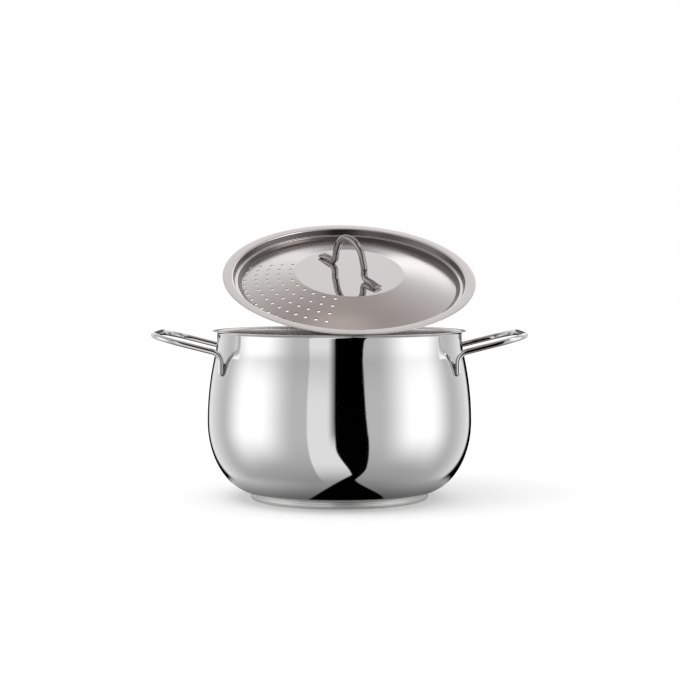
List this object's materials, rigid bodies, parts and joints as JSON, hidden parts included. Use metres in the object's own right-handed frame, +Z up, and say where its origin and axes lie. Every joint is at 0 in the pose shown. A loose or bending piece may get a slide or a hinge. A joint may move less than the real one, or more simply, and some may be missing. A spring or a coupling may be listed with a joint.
{
  "type": "stockpot with strainer lid",
  "caption": "Belly-shaped polished steel pasta pot with two welded loop handles, a thick encapsulated base and a loose lid with a pierced straining sector.",
  "frame": {"origin": "centre of the pot's underside, on the surface it stands on", "axes": "+X along the right side handle, +Y to the back, -Y to the front lip where the tipped lid rests, +Z up along the pot's axis"},
  "size_m": [0.3354, 0.2396, 0.25],
  "materials": {
    "polished_steel": "mirror-polished stainless steel",
    "core_aluminium": "plain rolled aluminium, hidden inside the base",
    "cap_steel": "polished stainless steel with a turned underside",
    "rod_steel": "polished stainless steel rod",
    "lid_steel": "satin stainless steel with a mirror-polished centre disc"
  },
  "bodies": {
    "pot": {"pot_body": "polished_steel", "base_core": "core_aluminium", "base_cap": "cap_steel", "left_handle": "rod_steel", "right_handle": "rod_steel"},
    "lid": {"lid": "lid_steel", "lid_handle": "rod_steel"}
  },
  "joints": [
    {"name": "lid_tip", "type": "hinge", "parent": "pot", "child": "lid", "pos_m": [0.0129, -0.11327, 0.1527], "axis": [0.9813, 0.1118, -0.1564], "range_deg": [-25.4, 60]}
  ]
}
